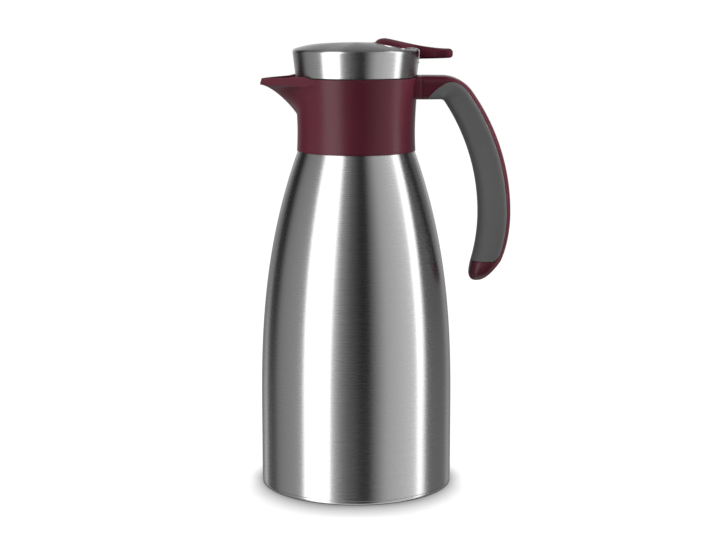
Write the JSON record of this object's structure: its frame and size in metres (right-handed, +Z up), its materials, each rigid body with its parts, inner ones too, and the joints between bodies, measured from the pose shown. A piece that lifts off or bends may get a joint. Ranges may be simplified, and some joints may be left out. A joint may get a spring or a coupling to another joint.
{
  "type": "thermal carafe",
  "caption": "Tall double-walled steel jug with a tapering shoulder, beak-spout collar, curved side handle and a screw-in stopper lid opened by a thumb lever",
  "frame": {"origin": "centre of the foot ring, on the table", "axes": "+Z up along the body's axis, spout towards -X, handle towards +X, +Y across"},
  "size_m": [0.1681, 0.129, 0.3007],
  "materials": {
    "steel_brushed": "satin, brushed round the body",
    "steel_inner": "bright drawn sheet",
    "steel_small": "polished",
    "solder": "dull",
    "plum_plastic": "satin with a soft shine",
    "grip_soft": "matt soft touch",
    "dark_plastic": "matt",
    "silicone": "matt, slightly translucent"
  },
  "bodies": {
    "jug": {"outer_shell": "steel_brushed", "shell_bottom": "steel_inner", "vacuum_seal": "solder", "getter": "solder", "inner_flask": "steel_inner", "base_cup": "steel_brushed", "collar": "plum_plastic", "neck_gasket": "silicone", "thread_ring": "dark_plastic", "handle_spine": "plum_plastic", "handle_grip": "grip_soft", "handle_screw": "steel_small"},
    "seal": {"stopper_seal": "silicone"},
    "lid": {"lid_cap": "steel_brushed", "lid_core": "dark_plastic", "lid_screws": "steel_small", "stopper_cup": "dark_plastic", "stopper_crown": "dark_plastic", "lever_pin": "steel_small", "valve_spring": "steel_small"},
    "lever": {"lever": "plum_plastic"},
    "valve": {"valve_stem": "steel_small", "stem_clip": "steel_small", "valve_plug": "dark_plastic", "valve_seal": "silicone"}
  },
  "joints": [
    {"name": "lid_lift", "type": "slide", "parent": "jug", "child": "seal", "axis": [0, 0, 1], "range_m": [0, 0.01]},
    {"name": "lid_turn", "type": "hinge", "parent": "seal", "child": "lid", "pos_m": [0, 0, 0.231], "axis": [0, 0, 1], "range_deg": [0, 450.5]},
    {"name": "valve_lift", "type": "slide", "parent": "lid", "child": "valve", "axis": [0, 0, 1], "range_m": [0, 0.0046], "stiffness_N_per_m": 735, "springref_m": -0.0041, "deforming": ["valve_spring"]},
    {"name": "lever_tip", "type": "hinge", "parent": "lid", "child": "lever", "pos_m": [0.033, 0, 0.2895], "axis": [0, 1, 0], "range_deg": [0, 8]}
  ],
  "couplings": [
    {"joint": "lid_turn", "follows": "lid_lift", "rad_per_m": 785.4},
    {"joint": "lever_tip", "follows": "valve_lift", "rad_per_m": 30.303}
  ]
}
